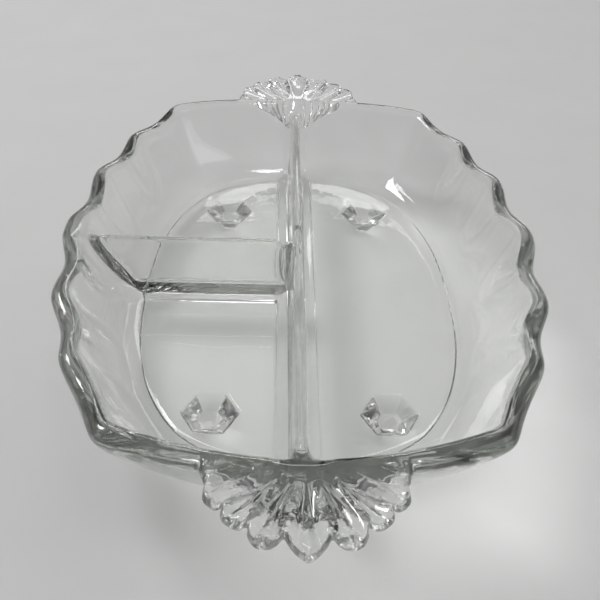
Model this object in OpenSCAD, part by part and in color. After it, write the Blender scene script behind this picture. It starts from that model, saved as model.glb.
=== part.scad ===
// Pressed glass relish dish: an oval bowl with a scalloped rim, three compartments,
// a fan handle at each end and four hexagonal feet.
// Millimetres. X runs across the dish, Y along it, and Z is up from the table.

/* [Bowl] */
// Width across the scalloped rim
rim_w = 165; // [156:1:176]
// Length of the rim, without the handles
rim_l = 206.4; // [200:0.2:214]
// Height from the table to the crest of the rim
height = 42; // [38:1:50]
// How far a side of the rim bows out past the corner crests at its ends
side_bow = 27.7; // [24:0.1:31]
// How far an end of the rim bows out past the corner crests beside it
end_bow = 10.4; // [8:0.1:16]
// Width of the flat underside
base_w = 114.6; // [108:0.2:122]
// Length of the flat underside
base_l = 161.4; // [152:0.2:168]
// Squareness of the flat underside, where 2 is an ellipse
base_power = 2.5; // [2:0.05:3]
// Height of the step round the flat underside
base_step = 1; // [0.4:0.1:1.4]
// Thickness of the floor
floor_t = 5.4; // [4:0.1:7]
// Thickness of the wall, measured level
wall_t = 7; // [6:0.1:8]
// Height of the rounded edge of the rim
edge_h = 4; // [2.4:0.1:4.4]

/* [Scallops] */
// Depth in plan of the two scallops beside the middle of a side
scallop_mid = 3.2; // [1.6:0.1:3.8]
// Depth in plan of the scallops next to a corner
scallop_end = 1.3; // [0.6:0.1:2.4]
// How far the rim dips between two crests
scallop_dip = 1.8; // [0.8:0.1:2.6]
// How far the rim dips towards the handles
end_dip = 1.4; // [0:0.1:1.6]

/* [Dividers] */
// Height from the table to the top of the long divider
long_top = 38; // [30:0.1:39]
// Thickness of the long divider below its rounded top
long_t = 4.6; // [3.6:0.1:6]
// Width of the long divider over its fillets at the floor
long_foot_w = 13.6; // [11:0.1:16]
// Height from the table to the top of the cross divider
cross_top = 36.4; // [30:0.1:38.4]
// Thickness of the cross divider below its rounded top
cross_t = 3.6; // [3:0.1:5]
// Width of the cross divider over its fillets at the floor
cross_foot_w = 13; // [8:0.1:15]
// Place of the long divider across the dish, from the long middle line
long_x = -1; // [-4:0.5:4]
// Place of the cross divider along the dish, from the cross middle line
cross_y = 0; // [-6:0.5:6]
// Lean of each side of a divider, in degrees
draft = 2; // [0:0.5:4]
// Length over which a divider flares into the wall
flare_reach = 13; // [8:0.5:18]
// How far the top of a divider rises over that length, where the rim leaves room
flare_rise = 3; // [0:0.1:3.2]
// How far a divider widens to each side over that length
flare_spread = 1.6; // [0:0.1:2.4]

/* [Fan handles] */
// Reach of a handle beyond the rim
fan_reach = 23.2; // [20:0.1:26]
// Distance of the point where the ribs meet from the end of the rim
fan_hub = 10.2; // [8:0.1:12]
// Height from the table to that point on the wall
fan_hub_z = 20.5; // [18:0.5:24]
// Angle from the middle of a handle to its last lobe, in degrees
fan_turn = 76; // [76:1:80]
// Length of the pointed middle lobe past its notches
lobe_length = 6; // [3:0.1:7]
// Depth of the top of the handle under the height of the rim's crests, where they meet
fan_drop = 2; // [1.8:0.1:2.6]
// Rise of the handle from the rim to its tips
fan_lift = 1.6; // [0:0.1:1.8]
// Thickness of the handle at its edge
fan_edge = 4.2; // [3.2:0.1:5]
// Depth of the hollow in each lobe
lobe_hollow = 1.3; // [0.4:0.1:1.5]
// Height of the ribs under the handle
rib_h = 1.3; // [0.6:0.1:2]

/* [Feet] */
// Height of a foot
foot_h = 7; // [5:0.5:9]
// Width of a foot across its corners, under the floor
foot_w = 19; // [16:0.1:22]
// Width of a foot across its corners, at the table
foot_tip_w = 8; // [6:0.1:11]
// Distance of the feet from the long middle line
foot_x = 28.7; // [24:0.1:34]
// Distance of the feet from the cross middle line
foot_y = 56.4; // [48:0.2:60]

/* [Hidden] */
glass = [0.86, 0.92, 0.89, 0.45];

// How far a cutting shape runs past what it cuts
overrun = 5;
// Crests of half a side, as shares of the way from its middle to the corner
crest_shares = [0, 0.376, 0.677, 1];
// Sharpness of the crests, and of the rounder one in the middle of a side: 2 is a plain wave
crest_power = 1.5;
middle_crest_power = 2.4;
// How the scallops fade down the wall: 1 is an even taper
fade_power = 1.2;
// Steps of the mesh in one scallop, along half an end, and up the wall
scallop_steps = 8;
end_steps = 10;
wall_steps = 9;
edge_steps = 5;
// Steps in a quarter turn of a divider's rounded top and fillets, and along its flare
arc_steps = 6;
flare_steps = 5;
// Outer edges of the lobes on one side, as shares of the fan's half turn
lobe_edge_shares = [0.155, 0.403, 0.62, 0.803, 1];
// Length of each lobe past its notches, as a share of the middle one's
lobe_length_shares = [1, 0.77, 0.52, 0.5, 0.12];
// Shape of the tip of each lobe: 1 is a point with straight sides and 2 is round
lobe_tip_powers = [1.15, 1.6, 2, 2, 2];
// Width of a lobe's hollow as a share of the lobe, where it starts as a share of the way from the hub,
// and how it deepens outwards
hollow_width_share = 0.75;
hollow_start_share = 0.36;
hollow_power = 1.5;
// Steps of the mesh round a lobe, and places along a rib as shares of its length
lobe_steps = 8;
fan_shares = [0.12, 0.3, 0.4, 0.48, 0.57, 0.66, 0.75, 0.83, 0.9, 0.95];

half_w = rim_w / 2;
half_l = rim_l / 2;
corner_x = half_w - side_bow;
corner_y = half_l - end_bow;
floor_z = foot_h + floor_t;

// Radius of the arc that rises by sag over half of its chord
function arc_radius(sag, half_chord) = (sag * sag + half_chord * half_chord) / (2 * sag);
function mix(a, b, share) = a + (b - a) * share;

side_r = arc_radius(half_w - corner_x, corner_y);
end_r = arc_radius(half_l - corner_y, corner_x);
side_turn = asin(corner_y / side_r);
end_turn = asin(corner_x / end_r);

// A column of the wall is [plan point of the smooth rim, plan normal there, depth of scallop, dip].
function side_column(angle, depth, wave) =
    [[half_w - side_r + side_r * cos(angle), side_r * sin(angle)], [cos(angle), sin(angle)],
     depth * wave, scallop_dip * wave];
function end_column(angle) =
    [[end_r * sin(angle), half_l - end_r + end_r * cos(angle)], [sin(angle), cos(angle)],
     0, end_dip * pow(sin(90 * (1 - angle / end_turn)), 2)];

last_scallop = len(crest_shares) - 2;
quarter = concat(
    [for (j = [0:last_scallop], i = [0:scallop_steps - 1])
        side_column(side_turn * mix(crest_shares[j], crest_shares[j + 1], i / scallop_steps),
                    mix(scallop_mid, scallop_end, j / last_scallop),
                    pow(sin(180 * i / scallop_steps),
                        j == 0 ? mix(middle_crest_power, crest_power, i / scallop_steps) : crest_power))],
    [for (i = [0:end_steps]) end_column(end_turn * (1 - i / end_steps))]);
quarter_last = len(quarter) - 1;

function flip(column, sx, sy) =
    [[column[0].x * sx, column[0].y * sy], [column[1].x * sx, column[1].y * sy], column[2], column[3]];

// All columns, anticlockwise from the middle of the right side
columns = concat(
    [for (i = [0:quarter_last - 1]) quarter[i]],
    [for (i = [quarter_last:-1:1]) flip(quarter[i], -1, 1)],
    [for (i = [0:quarter_last - 1]) flip(quarter[i], -1, -1)],
    [for (i = [quarter_last:-1:1]) flip(quarter[i], 1, -1)]);
column_count = len(columns);

// Plan point of the flat underside on the same ray as a rim point, both measured as shares of their widths
function base_point(column) =
    let (dir = atan2(column[0].y / half_l, column[0].x / half_w),
         size = pow(pow(abs(cos(dir)), base_power) + pow(abs(sin(dir)), base_power), -1 / base_power))
    [base_w / 2 * size * cos(dir), base_l / 2 * size * sin(dir)];

// Plan point of the outer wall, from share 0 at the underside to share 1 at the rim
function wall_plan(column, share) =
    let (smooth_point = mix(base_point(column), column[0], share))
    smooth_point - column[1] * column[2] * pow(share, fade_power);

// Moves a plan point of the outer wall inwards by a part of the wall's thickness
function inset(point, part) =
    [point.x * (1 - part * wall_t / half_w), point.y * (1 - part * wall_t / half_l)];

// The wall is a parabola that leaves the floor level. The rim's rounded edge is half an ellipse on top.
function crest_z(column) = height - edge_h - column[3];
function outer_point(column, share) =
    concat(wall_plan(column, share), mix(foot_h + base_step, crest_z(column), share * share));
function inner_point(column, share) =
    concat(inset(wall_plan(column, share), 1), mix(floor_z, crest_z(column), share * share));
function edge_point(column, angle) =
    concat(inset(wall_plan(column, 1), (1 - cos(angle)) / 2), crest_z(column) + edge_h * sin(angle));
function level_point(point, z) = [point.x, point.y, z];

// Rings of the bowl's surface, from the underside over the rim to the floor
function outer_rings(list) = concat(
    [[for (c = list) level_point(wall_plan(c, 0), foot_h)]],
    [for (i = [0:wall_steps]) [for (c = list) outer_point(c, i / wall_steps)]]);
edge_middle = (edge_steps + 1) / 2;
function edge_ring(list, i) = [for (c = list) edge_point(c, 180 * i / (edge_steps + 1))];
function edge_rings(list, first, last) = [for (i = [first:last]) edge_ring(list, i)];
function inner_rings(list) =
    [for (i = [wall_steps:-1:0]) [for (c = list) inner_point(c, i / wall_steps)]];

// A closed solid from rings of equally many points, each ring anticlockwise and the first one lowest
module rings_solid(rings) {
    count = len(rings[0]);
    last = len(rings) - 1;
    polyhedron(
        points = [for (ring = rings, p = ring) p],
        faces = concat(
            [[for (i = [0:count - 1]) i]],
            [for (r = [0:last - 1], i = [0:count - 1])
                let (a = r * count + i, b = r * count + (i + 1) % count)
                each [[a, a + count, b + count], [a, b + count, b]]],
            [[for (i = [count - 1:-1:0]) last * count + i]]),
        convexity = 10);
}

// Columns near the ends and the sides, for the shapes that trim the pieces which meet the wall
function columns_between(first, last) =
    [for (i = [first:last]) columns[(i + column_count) % column_count]];
back_middle = quarter_last;
left_middle = 2 * quarter_last;
front_middle = 3 * quarter_last;
divider_span = 4;
fan_span = end_steps;

// Space inside the bowl along a strip of columns, exactly to the surface of the floor, wall and rim
module cavity_strip(list) {
    top = [for (c = list) level_point(edge_point(c, 90), height + overrun)];
    rings_solid(concat([for (i = [0:wall_steps]) [for (c = list) inner_point(c, i / wall_steps)]],
                       [for (i = [edge_steps:-1:edge_middle]) edge_ring(list, i)], [top]));
}

// Everything inside the bowl's outer surface at one end, and above it
module end_block(middle) {
    list = columns_between(middle - fan_span, middle + fan_span);
    top = [for (c = list) level_point(edge_point(c, 90), height + overrun)];
    rings_solid(concat(outer_rings(list), edge_rings(list, 1, edge_middle), [top]));
}

module bowl() {
    color(glass)
    rings_solid(concat(outer_rings(columns), edge_rings(columns, 1, edge_steps), inner_rings(columns)));
}

// Section of a divider: a rounded top, leaning sides and a fillet to the floor on each side
function divider_section(top_z, thick, foot_w) =
    let (top_r = thick / 2,
         fillet_r = (foot_w - thick) / 2,
         shoulder_z = top_z - top_r,
         fillet_z = floor_z + fillet_r,
         lean = (shoulder_z - fillet_z) * tan(draft),
         side = concat(
             [[fillet_r + top_r, floor_z - overrun]],
             [for (i = [0:arc_steps])
                 [top_r + fillet_r * (1 - sin(90 * i / arc_steps)), fillet_z - fillet_r * cos(90 * i / arc_steps)]],
             [for (i = [0:arc_steps])
                 [(top_r - lean) * cos(90 * i / arc_steps), shoulder_z + top_r * sin(90 * i / arc_steps)]]))
    concat(side, [for (i = [len(side) - 2:-1:0]) [-side[i].x, side[i].y]]);

// Places along a divider up to and past the wall, each with its flare from 0 to 1
function flare_places(wall, end) = concat(
    [for (i = [0:flare_steps]) [wall - flare_reach * (1 - i / flare_steps), pow(i / flare_steps, 2)]],
    [[end, 1]]);
function mirrored(places) = [for (i = [len(places) - 1:-1:0]) [-places[i][0], places[i][1]]];

// A divider along its own Z, wider and higher where it flares into the wall's column
module divider_blank(places, column, top_z, thick, foot_w) {
    rise = min(flare_rise, crest_z(column) + edge_h / 2 - top_z);
    rings_solid([for (place = places)
        let (spread = 2 * flare_spread * place[1])
        [for (p = divider_section(top_z + rise * place[1], thick + spread, foot_w + spread))
            level_point(p, place[0])]]);
}

module long_blank() {
    end_places = flare_places(half_l - wall_t, half_l);
    translate([long_x, 0, 0])
    rotate([90, 0, 0])
    divider_blank(concat(mirrored(end_places), end_places), quarter[quarter_last],
                  long_top, long_t, long_foot_w);
}

module long_divider() {
    color(glass)
    intersection() {
        long_blank();
        cavity_strip(concat(columns_between(back_middle - divider_span, back_middle + divider_span),
                            columns_between(front_middle - divider_span, front_middle + divider_span)));
    }
}

module cross_divider() {
    color(glass)
    difference() {
        intersection() {
            translate([0, cross_y, 0])
            rotate([90, 0, -90])
            divider_blank(concat([[0, 0]], flare_places(half_w - wall_t, half_w)), quarter[0],
                          cross_top, cross_t, cross_foot_w);
            cavity_strip(concat(columns_between(left_middle - divider_span, left_middle + divider_span),
                                columns_between(-divider_span, divider_span)));
        }
        long_blank();
    }
}

// One fan handle, at the back. Its lobes stand round a hub on the wall, and its ribs run down to that hub.
fan_r = fan_hub + fan_reach;
fan_edge_z = height - fan_drop + fan_lift;
lobe_edge_r = fan_edge / 4;

// A turn of the fan is [angle, place in the lobe from -1 to 1, lobe counted from the middle].
last_lobe = len(lobe_edge_shares) - 1;
half_turns = concat(
    [for (i = [lobe_steps / 2:lobe_steps])
        let (place = 2 * i / lobe_steps - 1)
        [fan_turn * lobe_edge_shares[0] * place, place, 0]],
    [for (j = [1:last_lobe], i = [1:lobe_steps])
        [fan_turn * mix(lobe_edge_shares[j - 1], lobe_edge_shares[j], i / lobe_steps),
         2 * i / lobe_steps - 1, j]]);
fan_turns = concat(
    [for (i = [len(half_turns) - 1:-1:1]) [-half_turns[i][0], -half_turns[i][1], half_turns[i][2]]],
    half_turns);

// The middle lobe is pointed, and the outer ones are round.
function lobe_tip(place, lobe) =
    let (power = lobe_tip_powers[lobe])
    lobe_length * lobe_length_shares[lobe] * pow(max(0, 1 - pow(abs(place), power)), 1 / power);
function lobe_r(place, lobe) = fan_r - lobe_length + lobe_tip(place, lobe);
// The top rises to the tips, less so to the sides, and the underside runs down to the hub.
function fan_top_z(angle, share) = fan_edge_z - fan_lift * (1 - pow(share * cos(angle / 2), 2));
function fan_under_z(angle, share) =
    mix(fan_hub_z, fan_top_z(angle, 1) - fan_edge + rib_h, sin(90 * share));
function hollow(share) =
    let (way = max(0, share - hollow_start_share) / (1 - hollow_start_share))
    lobe_hollow * pow(sin(180 * pow(way, hollow_power)), 1 / hollow_power);

function fan_point(angle, r, z) = [r * sin(angle), half_l - fan_hub + r * cos(angle), z];
function fan_column(angle, place, lobe) =
    let (r = lobe_r(place, lobe), inner_r = r - lobe_edge_r,
         rib = pow(sin(180 * place), 2), dent = max(0, 1 - pow(place / hollow_width_share, 2)),
         edge_z = fan_top_z(angle, 1))
    concat(
        [for (s = fan_shares)
            fan_point(angle, inner_r * s, fan_under_z(angle, s) - rib_h * rib * sin(90 * s))],
        [fan_point(angle, inner_r, edge_z - fan_edge + lobe_edge_r * (1 - rib)),
         fan_point(angle, r, edge_z - fan_edge / 2),
         fan_point(angle, inner_r, edge_z)],
        [for (i = [len(fan_shares) - 1:-1:0])
            let (s = fan_shares[i])
            fan_point(angle, inner_r * s, fan_top_z(angle, s) - dent * hollow(s))]);

module fan_blank() {
    rings_solid([for (turn = fan_turns) fan_column(turn[0], turn[1], turn[2])]);
}

module back_fan_handle() {
    color(glass)
    difference() {
        fan_blank();
        end_block(back_middle);
    }
}

module front_fan_handle() {
    color(glass)
    difference() {
        mirror([0, 1, 0]) fan_blank();
        end_block(front_middle);
    }
}

// A hexagonal foot that narrows to the table, cut from a prism by six leaning planes
module foot(sx, sy) {
    flat_share = cos(30);
    lean = atan((foot_w - foot_tip_w) / 2 * flat_share / foot_h);
    blank_w = foot_w + overrun;
    color(glass)
    translate([sx * foot_x, sy * foot_y, 0])
    difference() {
        cylinder(h = foot_h, d = blank_w, $fn = 6);
        for (i = [0:5])
        rotate([0, 0, 30 + 60 * i])
        translate([foot_tip_w / 2 * flat_share, 0, 0])
        rotate([0, lean, 0])
        translate([0, -blank_w / 2, -overrun])
        cube(blank_w);
    }
}

module front_left_foot() { foot(-1, -1); }
module front_right_foot() { foot(1, -1); }
module back_left_foot() { foot(-1, 1); }
module back_right_foot() { foot(1, 1); }

bowl();
long_divider();
cross_divider();
front_fan_handle();
back_fan_handle();
front_left_foot();
front_right_foot();
back_left_foot();
back_right_foot();
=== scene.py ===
"""A pressed glass relish dish on a pale floor, in metres and in the part's own frame."""

import math

import bpy
from mathutils import Matrix, Vector
from mathutils.bvhtree import BVHTree


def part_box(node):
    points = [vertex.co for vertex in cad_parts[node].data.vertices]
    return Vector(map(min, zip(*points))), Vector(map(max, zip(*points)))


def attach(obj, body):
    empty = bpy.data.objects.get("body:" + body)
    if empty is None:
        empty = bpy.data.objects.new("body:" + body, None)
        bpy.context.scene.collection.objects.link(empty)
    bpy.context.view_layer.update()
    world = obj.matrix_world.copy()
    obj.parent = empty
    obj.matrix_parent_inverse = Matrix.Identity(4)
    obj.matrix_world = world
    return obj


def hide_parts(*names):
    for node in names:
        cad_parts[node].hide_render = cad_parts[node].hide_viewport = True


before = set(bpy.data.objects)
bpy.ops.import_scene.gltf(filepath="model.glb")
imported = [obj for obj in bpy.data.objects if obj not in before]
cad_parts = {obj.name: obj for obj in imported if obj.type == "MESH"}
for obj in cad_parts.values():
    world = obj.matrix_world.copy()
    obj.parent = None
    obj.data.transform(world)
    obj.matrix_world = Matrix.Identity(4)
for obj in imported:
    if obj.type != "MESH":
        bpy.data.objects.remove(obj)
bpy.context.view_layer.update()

MM = 0.001
HANDLES = {"front_fan_handle": -1, "back_fan_handle": 1}  # which way along y each one points
FEET = "front_left_foot", "front_right_foot", "back_left_foot", "back_right_foot"
DISH_MIDDLE = Vector((0, 0, 20 * MM))
CROSS_MIDDLE = -20 * MM  # an x between the two ends of the cross divider
STEP_TOP = 8.1 * MM  # just over the step round the flat underside
FOOT_ROOT = 9.5 * MM  # over the feet and the step, in the thickness of the floor
DOWNWARD = -0.05  # a face whose normal.z is under this looks down
UPWARD = 0.9  # a face whose normal.z is over this looks up
WALLWARD = -0.45  # a handle's face looks at the wall if its normal, along the handle's way, is under this

# How far each piece goes into what carries it.
WALL_SEAT = 1.6 * MM  # an end of a divider into the wall
CROSS_SEAT = 1 * MM  # the cross divider into the long one
LONG_ROOT, CROSS_ROOT = 3.5 * MM, 3 * MM  # the foot of a divider into the floor
HANDLE_SEAT = 2 * MM
FOOT_SEAT = 2 * MM

# The crisp edge along the foot of each divider, and where it fades out up the wall.
LONG_EDGE, CROSS_EDGE = 1.5 * MM, 0.9 * MM
EDGE_LIMITS = 13 * MM, 16 * MM, 19 * MM, 22 * MM, 25 * MM

# The rounding where pieces meet fades in between two heights.
JOINT_LOW, JOINT_FULL = 16 * MM, 21 * MM
JOINT_REACH = 6.5 * MM

VOXEL, ROUGH_VOXEL = 0.5 * MM, 1 * MM
MOST_TRIANGLES = 190000

bpy.context.tool_settings.mesh_select_mode = (True, False, False)


def pick(piece):
    """Only this piece is selected, and it is the active one."""
    bpy.ops.object.select_all(action="DESELECT")
    piece.select_set(True)
    bpy.context.view_layer.objects.active = piece


def merged_copy(node_name):
    """A new piece with the shape of a CAD node, its loose triangles merged and joined to quads."""
    piece = bpy.data.objects.new(node_name + "_copy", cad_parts[node_name].data.copy())
    bpy.context.scene.collection.objects.link(piece)
    pick(piece)
    bpy.ops.object.mode_set(mode="EDIT")
    bpy.ops.mesh.select_all(action="SELECT")
    bpy.ops.mesh.remove_doubles(threshold=0.01 * MM)
    bpy.ops.mesh.tris_convert_to_quads(face_threshold=math.radians(25), shape_threshold=math.radians(50))
    bpy.ops.object.mode_set(mode="OBJECT")
    return piece


def select_points(piece, wanted):
    """Selects the points of a piece whose place passes the test, and opens it in edit mode."""
    pick(piece)
    bpy.ops.object.mode_set(mode="EDIT")
    bpy.ops.mesh.select_all(action="DESELECT")
    bpy.ops.object.mode_set(mode="OBJECT")
    for point in piece.data.vertices:
        point.select = wanted(point.co)
    bpy.ops.object.mode_set(mode="EDIT")


def crease(piece, wanted):
    """Keeps the edges between the points that pass the test sharp under subdivision."""
    select_points(piece, wanted)
    bpy.ops.transform.edge_crease(value=1)
    bpy.ops.object.mode_set(mode="OBJECT")


def push(piece, wanted, move):
    """Moves the points whose place passes the test."""
    select_points(piece, wanted)
    bpy.ops.transform.translate(value=move)
    bpy.ops.object.mode_set(mode="OBJECT")


def push_faces(piece, wanted, move):
    """Moves the faces whose normal and centre pass the test, with their points."""
    chosen = set()
    for face in piece.data.polygons:
        if wanted(face.normal, face.center):
            chosen.update(face.vertices)
    places = {tuple(piece.data.vertices[point].co) for point in chosen}
    push(piece, lambda place: tuple(place) in places, move)


def draw_out(piece, wanted, move):
    """Extrudes the faces whose normal passes the test, so that the outline they had stays in place."""
    pick(piece)
    bpy.ops.object.mode_set(mode="EDIT")
    bpy.ops.mesh.select_mode(type="FACE")
    bpy.ops.mesh.select_all(action="DESELECT")
    bpy.ops.object.mode_set(mode="OBJECT")
    for face in piece.data.polygons:
        face.select = wanted(face.normal)
    bpy.ops.object.mode_set(mode="EDIT")
    bpy.ops.mesh.extrude_region_move(TRANSFORM_OT_translate={"value": move})
    bpy.ops.mesh.select_mode(type="VERT")
    bpy.ops.object.mode_set(mode="OBJECT")


def root_divider(divider, edge, root):
    """Raises the underside for a crisp edge, less and less up the wall, then draws it down into the floor."""
    for limit in EDGE_LIMITS:
        push_faces(divider, lambda normal, centre: normal.z < DOWNWARD and centre.z < limit,
                   (0, 0, edge / len(EDGE_LIMITS)))
    draw_out(divider, lambda normal: normal.z < DOWNWARD, (0, 0, -root))


def apply_modifier(piece, kind, **settings):
    pick(piece)
    modifier = piece.modifiers.new(kind.title(), kind)
    for name, value in settings.items():
        setattr(modifier, name, value)
    bpy.ops.object.modifier_apply(modifier=modifier.name)


class Wire:
    """A socket of a material. An expression on wires adds the Math nodes that work it out."""

    def __init__(self, tree, socket):
        self.tree = tree
        self.socket = socket

    def math(self, operation, *values):
        return node(self.tree, "ShaderNodeMath", {"operation": operation}, dict(enumerate(values)))

    def __add__(self, other):
        return self.math("ADD", self, other)

    def __radd__(self, other):
        return self.math("ADD", other, self)

    def __mul__(self, other):
        return self.math("MULTIPLY", self, other)

    def __rmul__(self, other):
        return self.math("MULTIPLY", other, self)

    def limited(self, low, high):
        """How far the value is from low to high, from 0 to 1, with smooth ends."""
        return node(self.tree, "ShaderNodeMapRange", {"interpolation_type": "SMOOTHSTEP"},
                    {"Value": self, "From Min": low, "From Max": high})


def node(tree, kind, settings, inputs, output=0):
    """Adds a node: settings first, then the values or wires of its sockets. Returns one output as a wire."""
    made = tree.nodes.new(kind)
    for name, value in settings.items():
        setattr(made, name, value)
    for name, value in inputs.items():
        if isinstance(value, Wire):
            tree.links.new(value.socket, made.inputs[name])
        else:
            made.inputs[name].default_value = value
    return Wire(tree, made.outputs[output])


def mixed_colour(tree, share, first, second):
    """The first colour at share 0 and the second at 1. The node has its colours in sockets 6 and 7."""
    return node(tree, "ShaderNodeMix", {"data_type": "RGBA"}, {0: share, 6: first, 7: second}, 2)


def mixed_shader(tree, share, first, second):
    return node(tree, "ShaderNodeMixShader", {}, {0: share, 1: first, 2: second})


def noise(tree, place, scale, detail):
    return node(tree, "ShaderNodeTexNoise", {},
                {"Vector": place, "Scale": scale, "Detail": detail, "Roughness": 0.5})


def new_material(name):
    """A material without nodes, its tree, and the place on the piece that its patterns follow."""
    material = bpy.data.materials.new(name)
    material.use_nodes = True
    tree = material.node_tree
    tree.nodes.clear()
    return material, tree, node(tree, "ShaderNodeTexCoord", {}, {}, "Object")


def finish_material(tree, surface, volume=None):
    """Joins the last shaders to the material's output."""
    end = tree.nodes.new("ShaderNodeOutputMaterial")
    tree.links.new(surface.socket, end.inputs["Surface"])
    if volume:
        tree.links.new(volume.socket, end.inputs["Volume"])


def pressed_glass():
    """Clear pressed glass: a faint grey body, long ripples from the mould, and a softly worn skin."""
    material, tree, place = new_material("pressed_glass")
    ripple = noise(tree, place, scale=45, detail=1)
    dimple = noise(tree, place, scale=260, detail=2)
    cloud = noise(tree, place, scale=60, detail=3)
    tint = mixed_colour(tree, cloud.limited(0.35, 0.65), (0.98, 0.984, 0.98, 1), (0.957, 0.962, 0.956, 1))
    wear = noise(tree, place, scale=420, detail=4).limited(0.55, 0.75)
    skin = 0.012 + 0.03 * wear
    relief = ripple + dimple * 0.08
    bump = node(tree, "ShaderNodeBump", {}, {"Strength": 0.2, "Distance": 1.2 * MM, "Height": relief})
    body = node(tree, "ShaderNodeBsdfPrincipled", {},
                {"Base Color": tint, "Roughness": skin, "IOR": 1.51, "Transmission Weight": 1.0,
                 "Normal": bump})

    # Light falls through level glass and is thrown aside by steep glass.
    clear = node(tree, "ShaderNodeBsdfTransparent", {}, {"Color": (0.92, 0.93, 0.925, 1)})
    dim = node(tree, "ShaderNodeBsdfTransparent", {}, {"Color": (0.31, 0.325, 0.31, 1)})
    steep = node(tree, "ShaderNodeLayerWeight", {}, {"Blend": 0.5}, "Facing").limited(0.1, 0.8)
    shadow = node(tree, "ShaderNodeLightPath", {}, {}, "Is Shadow Ray")
    surface = mixed_shader(tree, shadow, body, mixed_shader(tree, steep, clear, dim))
    depth = node(tree, "ShaderNodeVolumeAbsorption", {}, {"Color": (0.675, 0.688, 0.667, 1), "Density": 22})
    finish_material(tree, surface, depth)
    return material


def pale_card():
    """Matt pale card with a very faint mottle."""
    material, tree, place = new_material("pale_card")
    mottle = noise(tree, place, scale=30, detail=4)
    tone = mixed_colour(tree, mottle, (0.58, 0.58, 0.575, 1), (0.62, 0.62, 0.615, 1))
    finish_material(tree, node(tree, "ShaderNodeBsdfPrincipled", {}, {"Base Color": tone, "Roughness": 0.8}))
    return material


def near(piece, node_name, points):
    """For each of these points, 1 on the surface of a CAD node, falling to 0 at JOINT_REACH from it."""
    surface = BVHTree.FromObject(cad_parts[node_name], bpy.context.evaluated_depsgraph_get())
    low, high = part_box(node_name)
    shares = {}
    for index in points:
        place = piece.data.vertices[index].co
        if all(low[axis] - JOINT_REACH < place[axis] < high[axis] + JOINT_REACH for axis in range(3)):
            found = surface.find_nearest(place, JOINT_REACH)
            if found[0] is not None:
                shares[index] = 1 - found[3] / JOINT_REACH
    return shares


def blend_joints(piece):
    """Rounds the inner corners where the dividers meet the wall and each other, above the floor."""
    every = range(len(piece.data.vertices))
    long = near(piece, "long_divider", every)
    cross = near(piece, "cross_divider", every)
    around = set(long) | set(cross)
    bowl = near(piece, "bowl", around)
    group = piece.vertex_groups.new(name="joints")
    for index in around:
        of_long, of_cross, of_bowl = (shares.get(index, 0) for shares in (long, cross, bowl))
        closeness = max(min(of_bowl, max(of_long, of_cross)), min(of_long, of_cross))
        above_floor = min(1, (piece.data.vertices[index].co.z - JOINT_LOW) / (JOINT_FULL - JOINT_LOW))
        if closeness > 0 and above_floor > 0:
            # The rounding is full within half of the reach.
            group.add([index], min(1, 2 * closeness) * above_floor, "REPLACE")
    apply_modifier(piece, "SMOOTH", factor=0.5, iterations=400, vertex_group=group.name)
    piece.vertex_groups.clear()


def even_out(piece):
    """Softens the facets of the remesh, but less on the feet and the step, which are crisp."""
    apply_modifier(piece, "SMOOTH", factor=0.5, iterations=1)
    group = piece.vertex_groups.new(name="above_the_feet")
    group.add([point.index for point in piece.data.vertices if point.co.z > FOOT_ROOT], 1, "REPLACE")
    apply_modifier(piece, "SMOOTH", factor=0.5, iterations=3, vertex_group=group.name)
    piece.vertex_groups.clear()


def dish_skin():
    """One skin round all nine nodes, because the real dish is one pressing with no glass walls inside it."""
    bowl = merged_copy("bowl")
    crease(bowl, lambda place: place.z < STEP_TOP)
    apply_modifier(bowl, "SUBSURF", levels=1, render_levels=1)

    long_divider = merged_copy("long_divider")
    push(long_divider, lambda place: place.y < 0, (0, -WALL_SEAT, 0))
    push(long_divider, lambda place: place.y > 0, (0, WALL_SEAT, 0))
    root_divider(long_divider, LONG_EDGE, LONG_ROOT)
    cross_divider = merged_copy("cross_divider")
    push(cross_divider, lambda place: place.x < CROSS_MIDDLE, (-WALL_SEAT, 0, 0))
    push(cross_divider, lambda place: place.x > CROSS_MIDDLE, (CROSS_SEAT, 0, 0))
    root_divider(cross_divider, CROSS_EDGE, CROSS_ROOT)
    others = [long_divider, cross_divider]
    for name, way in HANDLES.items():
        handle = merged_copy(name)
        push_faces(handle, lambda normal, centre: normal.y * way < WALLWARD, (0, -HANDLE_SEAT * way, 0))
        others.append(handle)
    for name in FEET:
        foot = merged_copy(name)
        draw_out(foot, lambda normal: normal.z > UPWARD, (0, 0, FOOT_SEAT))
        others.append(foot)

    pick(bowl)
    for piece in others:
        piece.select_set(True)
    bpy.ops.object.join()
    bowl.name = "glass_dish"
    voxel = VOXEL
    apply_modifier(bowl, "REMESH", mode="VOXEL", voxel_size=voxel, use_smooth_shade=True)
    blend_joints(bowl)
    even_out(bowl)
    apply_modifier(bowl, "DECIMATE", ratio=min(1, MOST_TRIANGLES / 2 / len(bowl.data.polygons)))
    return bowl


dish = dish_skin()
dish.data.materials.clear()
dish.data.materials.append(pressed_glass())
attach(dish, "root")
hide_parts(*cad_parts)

bpy.ops.mesh.primitive_plane_add(size=6, location=(0, 0, 0))
floor = bpy.context.active_object
floor.name = "floor"
floor.data.materials.append(pale_card())


def soft_lamp(name, place, size, power):
    """A lamp that aims at the middle of the dish."""
    bpy.ops.object.light_add(type="AREA", location=place)
    lamp = bpy.context.active_object
    lamp.name = name
    lamp.data.shape = "RECTANGLE"
    lamp.data.size, lamp.data.size_y = size
    lamp.data.energy = power
    lamp.rotation_mode = "QUATERNION"
    lamp.rotation_quaternion = (DISH_MIDDLE - Vector(place)).to_track_quat("-Z", "Y")


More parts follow.
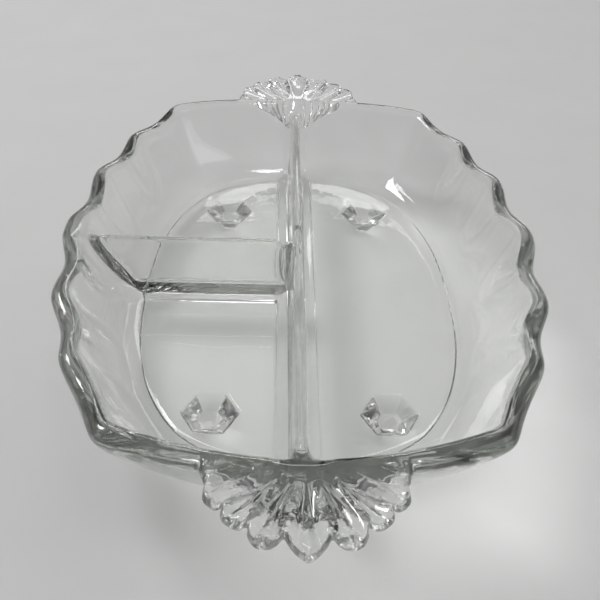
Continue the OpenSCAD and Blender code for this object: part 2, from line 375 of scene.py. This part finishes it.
def studio():
    """Pale overhead and darker towards the horizon, which draws the edges of the glass."""
    world = bpy.data.worlds.new("studio")
    bpy.context.scene.world = world
    world.use_nodes = True
    tree = world.node_tree
    tree.nodes.clear()
    direction = node(tree, "ShaderNodeTexCoord", {}, {}, "Generated")
    height = node(tree, "ShaderNodeSeparateXYZ", {}, {0: direction}, "Z")
    sky = mixed_colour(tree, height.limited(0.0, 0.9), (0.06, 0.06, 0.065, 1), (1.0, 1.0, 1.0, 1))
    light = node(tree, "ShaderNodeBackground", {}, {"Color": sky, "Strength": 0.62})
    end = tree.nodes.new("ShaderNodeOutputWorld")
    tree.links.new(light.socket, end.inputs["Surface"])


def photo_camera(place, yaw, pitch, roll, lens):
    """The camera stands where it does in the photograph."""
    ahead = Vector((math.sin(yaw) * math.cos(pitch), math.cos(yaw) * math.cos(pitch), -math.sin(pitch)))
    level = ahead.cross(Vector((0, 0, 1))).normalized()
    over = level.cross(ahead)
    right = math.cos(roll) * level + math.sin(roll) * over
    up = math.cos(roll) * over - math.sin(roll) * level
    bpy.ops.object.camera_add()
    camera = bpy.context.active_object
    camera.name = "camera"
    camera.data.sensor_width = 36
    camera.data.lens = lens
    camera.data.clip_start = 0.01
    camera.matrix_world = Matrix.Translation(place) @ Matrix((right, up, -ahead)).transposed().to_4x4()
    bpy.context.scene.camera = camera


soft_lamp("key_lamp", place=(-0.55, 0.35, 0.85), size=(0.28, 0.2), power=3.2)
soft_lamp("fill_lamp", place=(0.75, -0.35, 0.7), size=(0.7, 0.5), power=1.2)
soft_lamp("back_lamp", place=(0.15, 1.0, 0.5), size=(0.8, 0.12), power=1.2)
soft_lamp("glint_lamp", place=(0.12, -0.1, 0.95), size=(0.1, 0.1), power=0.5)
studio()
photo_camera(place=(-0.00853, -0.21545, 0.19325), yaw=0.04304, pitch=0.70868, roll=0.04657, lens=45.40)

# Light turns many times inside a glass rim before it comes out.
bpy.context.scene.cycles.max_bounces = 24
bpy.context.scene.cycles.glossy_bounces = 20
bpy.context.scene.cycles.transmission_bounces = 20
bpy.context.scene.view_settings.view_transform = "Standard"
